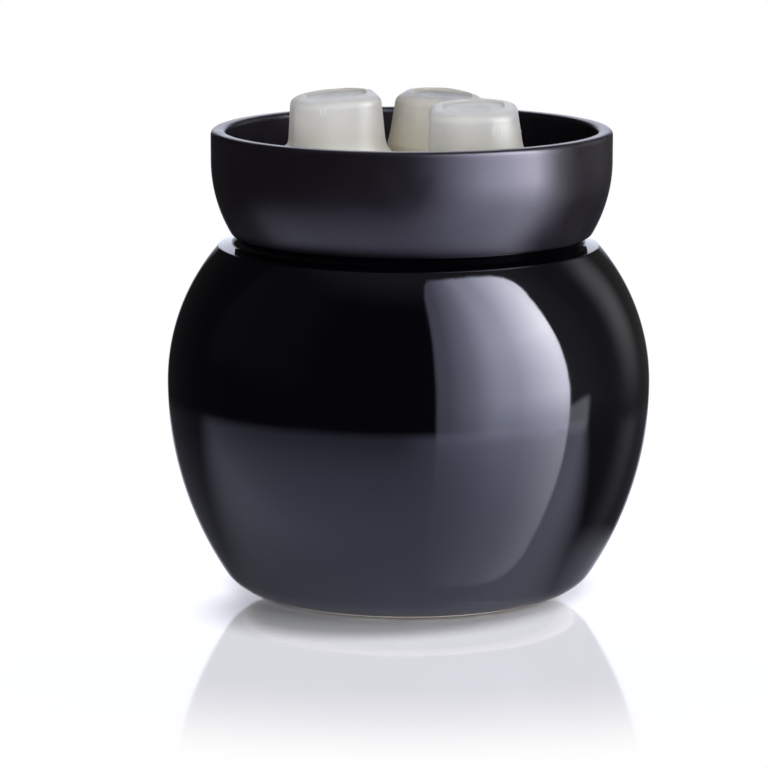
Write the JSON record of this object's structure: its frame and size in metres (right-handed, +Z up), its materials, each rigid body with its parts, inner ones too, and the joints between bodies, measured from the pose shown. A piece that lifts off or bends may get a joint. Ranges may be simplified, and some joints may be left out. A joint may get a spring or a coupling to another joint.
{
  "type": "wax melt warmer",
  "caption": "Round glazed pot with a hot plate in its neck that warms a loose dish of scented wax melts, for a table top.",
  "frame": {"origin": "on the table under the axis of the pot, at the bottoms of the rubber feet", "axes": "+Z is up, -Y is the front that the picture shows, +X is to the right in the picture, and the cord gland is at the rear, +Y"},
  "size_m": [0.13, 0.13, 0.1355],
  "materials": {
    "black_glaze": "gloss",
    "dish_glaze": "satin",
    "wax": "satin",
    "plate_aluminium": "satin",
    "carrier_resin": "matte",
    "silicone": "matte",
    "mica": "satin",
    "foil_metal": "satin",
    "zinc_steel": "satin",
    "fibre": "matte",
    "brass": "satin",
    "steatite": "matte",
    "fuse_case": "satin",
    "lead_brown": "matte",
    "lead_blue": "matte",
    "block_resin": "matte",
    "base_resin": "matte",
    "black_rubber": "matte"
  },
  "bodies": {
    "base": {"ceramic_body": "black_glaze", "hot_plate": "plate_aluminium", "heater_carrier": "carrier_resin", "neck_seal": "silicone", "base_gasket": "silicone", "mica_sheet_upper": "mica", "mica_sheet_lower": "mica", "heating_foil": "foil_metal", "pressure_plate": "zinc_steel", "heat_shield": "zinc_steel", "centre_stud": "zinc_steel", "pressure_nut": "zinc_steel", "shield_washer": "zinc_steel", "shield_nut": "zinc_steel", "fuse_clip": "zinc_steel", "fuse_clip_screw": "zinc_steel", "tie_bolts": "zinc_steel", "tie_washers": "zinc_steel", "weld_nuts": "zinc_steel", "terminal_screws": "zinc_steel", "block_screws": "zinc_steel", "insulation_pad": "fibre", "element_tabs": "brass", "tab_receptacles": "brass", "terminal_barrels": "brass", "lead_bushes": "steatite", "thermal_fuse": "fuse_case", "lead_live": "lead_brown", "lead_link": "lead_brown", "lead_neutral": "lead_blue", "terminal_block": "block_resin", "base_plate": "base_resin", "rubber_foot_rear": "black_rubber", "rubber_foot_left": "black_rubber", "rubber_foot_right": "black_rubber", "cord_grommet": "black_rubber"},
    "dish": {"wax_dish": "dish_glaze"},
    "melt_lower_left": {"wax_melt_lower_left": "wax"},
    "melt_lower_rear": {"wax_melt_lower_rear": "wax"},
    "melt_lower_right": {"wax_melt_lower_right": "wax"},
    "melt_left": {"wax_melt_left": "wax"},
    "melt_rear": {"wax_melt_rear": "wax"},
    "melt_right": {"wax_melt_right": "wax"}
  },
  "joints": [
    {"name": "dish_lift", "type": "slide", "parent": "base", "child": "dish", "axis": [0, 0, 1], "range_m": [0, 0.08]},
    {"name": "melt_lower_left_lift", "type": "slide", "parent": "dish", "child": "melt_lower_left", "axis": [0, 0, 1], "range_m": [0, 0.05]},
    {"name": "melt_left_lift", "type": "slide", "parent": "melt_lower_left", "child": "melt_left", "axis": [0, 0, 1], "range_m": [0, 0.04]},
    {"name": "melt_lower_rear_lift", "type": "slide", "parent": "dish", "child": "melt_lower_rear", "axis": [0, 0, 1], "range_m": [0, 0.05]},
    {"name": "melt_rear_lift", "type": "slide", "parent": "melt_lower_rear", "child": "melt_rear", "axis": [0, 0, 1], "range_m": [0, 0.04]},
    {"name": "melt_lower_right_lift", "type": "slide", "parent": "dish", "child": "melt_lower_right", "axis": [0, 0, 1], "range_m": [0, 0.05]},
    {"name": "melt_right_lift", "type": "slide", "parent": "melt_lower_right", "child": "melt_right", "axis": [0, 0, 1], "range_m": [0, 0.04]}
  ]
}
